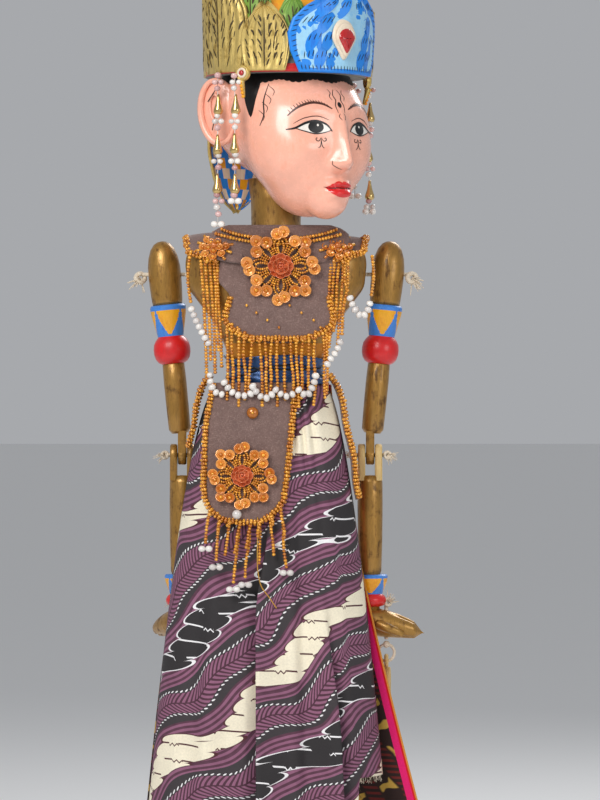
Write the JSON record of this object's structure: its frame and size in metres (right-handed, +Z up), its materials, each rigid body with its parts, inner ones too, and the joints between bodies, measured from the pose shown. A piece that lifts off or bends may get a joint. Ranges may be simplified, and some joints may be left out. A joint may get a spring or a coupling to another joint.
{
  "type": "rod puppet",
  "caption": "Wooden rod puppet with a turning torso, jointed arms, hanging hand rods, leaf crown, beaded felt costume and wrapped cloth skirt",
  "frame": {"origin": "centre of the foot of the carrying rod, where a stand or a hand holds it", "axes": "+Z up along the carrying rod; the torso faces -Y; +X is the puppet's left side"},
  "size_m": [0.165, 0.0983, 0.589],
  "materials": {
    "handle_wood": "plain turned wood",
    "skin_paint": "wood with glossy salmon paint",
    "crown_orange": "carved and painted wood",
    "crown_blue": "carved and painted wood",
    "jewel_red": "glossy red",
    "crown_gold": "carved wood with dull gold paint",
    "pearls": "pearl and gilt beads",
    "gold_wood": "wood with worn gold paint",
    "cotton": "twisted cotton string",
    "satin": "dark blue satin",
    "felt": "taupe felt",
    "sequins": "clear amber sequins and beads",
    "amber_beads": "amber glass beads",
    "batik": "printed cotton in charcoal, mauve and cream",
    "back_cloth": "brown printed cotton with a magenta lining",
    "gold_thread": "gold sewing thread",
    "band_paint": "wood painted yellow, blue and red"
  },
  "bodies": {
    "carrying_rod_and_head": {"main_rod": "handle_wood", "head": "skin_paint", "crown_cap": "crown_orange", "crown_crest": "crown_blue", "crown_jewel": "jewel_red", "crown_leaves": "crown_gold", "crown_tail": "crown_gold", "ear_flowers": "crown_gold"},
    "torso_and_clothes": {"torso": "gold_wood", "shoulder_string": "cotton", "belt": "satin", "bib": "felt", "bib_brooch": "sequins", "bib_fringe": "amber_beads", "shoulder_wing_right": "felt", "shoulder_wing_left": "felt", "side_fringe_right": "amber_beads", "side_fringe_left": "amber_beads", "apron": "felt", "apron_button": "sequins", "apron_brooch": "sequins", "apron_fringe": "amber_beads", "hip_flap_right": "felt", "hip_flap_left": "felt", "skirt_front": "batik", "skirt_back": "back_cloth", "loose_thread": "gold_thread"},
    "shoulder_string_right": {"shoulder_knot_right": "cotton"},
    "upper_arm_right": {"upper_arm_right": "gold_wood", "armband_right": "band_paint"},
    "forearm_right": {"forearm_right": "gold_wood", "wristband_right": "band_paint", "elbow_string_right": "cotton", "hand_string_right": "cotton"},
    "rod_loop_right": {"rod_loop_right": "cotton"},
    "hand_rod_right": {"hand_rod_right": "handle_wood"},
    "earring_right": {"earring_right": "pearls"},
    "shoulder_string_left": {"shoulder_knot_left": "cotton"},
    "upper_arm_left": {"upper_arm_left": "gold_wood", "armband_left": "band_paint"},
    "forearm_left": {"forearm_left": "gold_wood", "wristband_left": "band_paint", "elbow_string_left": "cotton", "hand_string_left": "cotton"},
    "rod_loop_left": {"rod_loop_left": "cotton"},
    "hand_rod_left": {"hand_rod_left": "handle_wood"},
    "earring_left": {"earring_left": "pearls"}
  },
  "joints": [
    {"name": "torso_turn", "type": "hinge", "parent": "carrying_rod_and_head", "child": "torso_and_clothes", "pos_m": [0, 0, 0.39], "axis": [0, 0, 1], "range_deg": [-42, 118]},
    {"name": "shoulder_raise_right", "type": "hinge", "parent": "torso_and_clothes", "child": "shoulder_string_right", "pos_m": [-0.05, 0.015, 0.422], "axis": [0, -1, 0], "range_deg": [-26, 0], "deforming": ["skirt_front", "skirt_back", "hip_flap_right"]},
    {"name": "shoulder_swing_right", "type": "hinge", "parent": "shoulder_string_right", "child": "upper_arm_right", "pos_m": [-0.0617, 0.015, 0.422], "axis": [-1, 0, 0], "range_deg": [-40, 130], "deforming": ["skirt_front", "skirt_back", "hip_flap_right"]},
    {"name": "elbow_bend_right", "type": "hinge", "parent": "upper_arm_right", "child": "forearm_right", "pos_m": [-0.052, 0.015, 0.322], "axis": [1, 0, 0], "range_deg": [-110, 0], "deforming": ["skirt_front", "skirt_back", "hip_flap_right"]},
    {"name": "rod_side_right", "type": "hinge", "parent": "forearm_right", "child": "rod_loop_right", "pos_m": [-0.0565, 0.02279, 0.2172], "axis": [0, 1, 0], "range_deg": [-10, 60], "deforming": ["skirt_front", "skirt_back"]},
    {"name": "rod_swing_right", "type": "hinge", "parent": "rod_loop_right", "child": "hand_rod_right", "pos_m": [-0.0565, 0.02279, 0.208], "axis": [-1, 0, 0], "range_deg": [-60, 60], "deforming": ["skirt_front", "skirt_back"]},
    {"name": "earring_swing_right", "type": "hinge", "parent": "carrying_rod_and_head", "child": "earring_right", "pos_m": [-0.02401, -0.0435, 0.5275], "axis": [-0.6157, 0.788, 0], "range_deg": [0, 25]},
    {"name": "shoulder_raise_left", "type": "hinge", "parent": "torso_and_clothes", "child": "shoulder_string_left", "pos_m": [0.05, 0.015, 0.422], "axis": [0, 1, 0], "range_deg": [-26, 0], "deforming": ["skirt_front", "skirt_back", "hip_flap_left"]},
    {"name": "shoulder_swing_left", "type": "hinge", "parent": "shoulder_string_left", "child": "upper_arm_left", "pos_m": [0.0617, 0.015, 0.422], "axis": [-1, 0, 0], "range_deg": [-40, 130], "deforming": ["skirt_front", "skirt_back", "hip_flap_left"]},
    {"name": "elbow_bend_left", "type": "hinge", "parent": "upper_arm_left", "child": "forearm_left", "pos_m": [0.052, 0.015, 0.322], "axis": [1, 0, 0], "range_deg": [-110, 0], "deforming": ["skirt_front", "skirt_back", "hip_flap_left"]},
    {"name": "rod_side_left", "type": "hinge", "parent": "forearm_left", "child": "rod_loop_left", "pos_m": [0.061, 0.015, 0.2172], "axis": [0, -1, 0], "range_deg": [-10, 60], "deforming": ["skirt_front", "skirt_back"]},
    {"name": "rod_swing_left", "type": "hinge", "parent": "rod_loop_left", "child": "hand_rod_left", "pos_m": [0.061, 0.015, 0.208], "axis": [-1, 0, 0], "range_deg": [-60, 60], "deforming": ["skirt_front", "skirt_back"]},
    {"name": "earring_swing_left", "type": "hinge", "parent": "carrying_rod_and_head", "child": "earring_left", "pos_m": [0.04802, 0.01277, 0.5275], "axis": [0.6157, -0.788, 0], "range_deg": [0, 25]}
  ]
}
